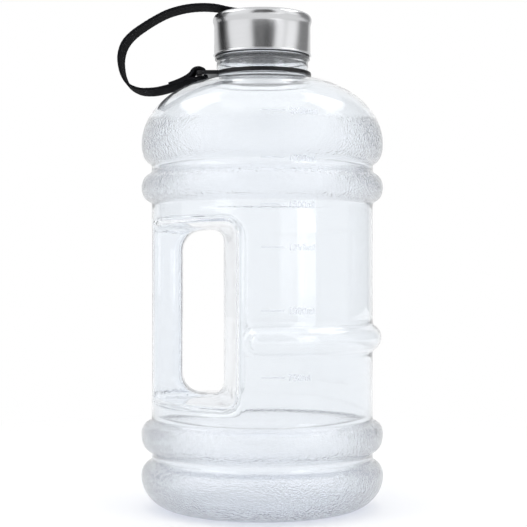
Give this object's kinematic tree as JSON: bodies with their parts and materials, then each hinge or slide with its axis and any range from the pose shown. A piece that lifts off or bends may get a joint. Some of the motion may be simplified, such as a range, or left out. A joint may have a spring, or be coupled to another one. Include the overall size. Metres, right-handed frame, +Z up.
{
  "type": "large water jug",
  "caption": "Large clear ribbed water jug with a see-through window handle, a steel screw cap and a webbing leash that ties the cap to a ring on the neck.",
  "frame": {"origin": "on the jug's axis, in the plane it stands on", "axes": "+Z up along the jug's axis; the handle, the ring's ear and the leash are on the -X side; +Y is the back"},
  "size_m": [0.1427, 0.13, 0.2705],
  "materials": {
    "clear_body": "clear, glossy, with lightly pebbled ribs",
    "brushed_steel": "fine brushed",
    "liner_plastic": "moulded",
    "silicone": "soft matt",
    "ring_plastic": "moulded, slightly glossy",
    "webbing": "woven, matt",
    "rivet_steel": "turned"
  },
  "bodies": {
    "jug": {"bottle_body": "clear_body"},
    "seal": {"cap_gasket": "silicone"},
    "cap": {"cap_shell": "brushed_steel", "cap_liner": "liner_plastic"},
    "ring": {"neck_ring": "ring_plastic", "leash_strap": "webbing"},
    "rivet": {"leash_rivet": "rivet_steel", "leash_washer": "rivet_steel"}
  },
  "joints": [
    {"name": "cap_lift", "type": "slide", "parent": "jug", "child": "seal", "axis": [0, 0, 1], "range_m": [0, 0.01351]},
    {"name": "cap_twist", "type": "hinge", "parent": "seal", "child": "cap", "pos_m": [0, 0, 0.25], "axis": [0, 0, 1], "range_deg": [0, 810]},
    {"name": "ring_turn", "type": "hinge", "parent": "jug", "child": "ring", "pos_m": [0, 0, 0.233], "axis": [0, 0, 1], "continuous": true},
    {"name": "rivet_lift", "type": "slide", "parent": "ring", "child": "rivet", "axis": [0, 0, 1], "range_m": [0, 0.01351], "deforming": ["leash_strap"]}
  ],
  "couplings": [
    {"joint": "cap_lift", "follows": "cap_twist", "m_per_rad": 0.00095493},
    {"joint": "rivet_lift", "follows": "cap_twist", "m_per_rad": 0.00095493}
  ]
}
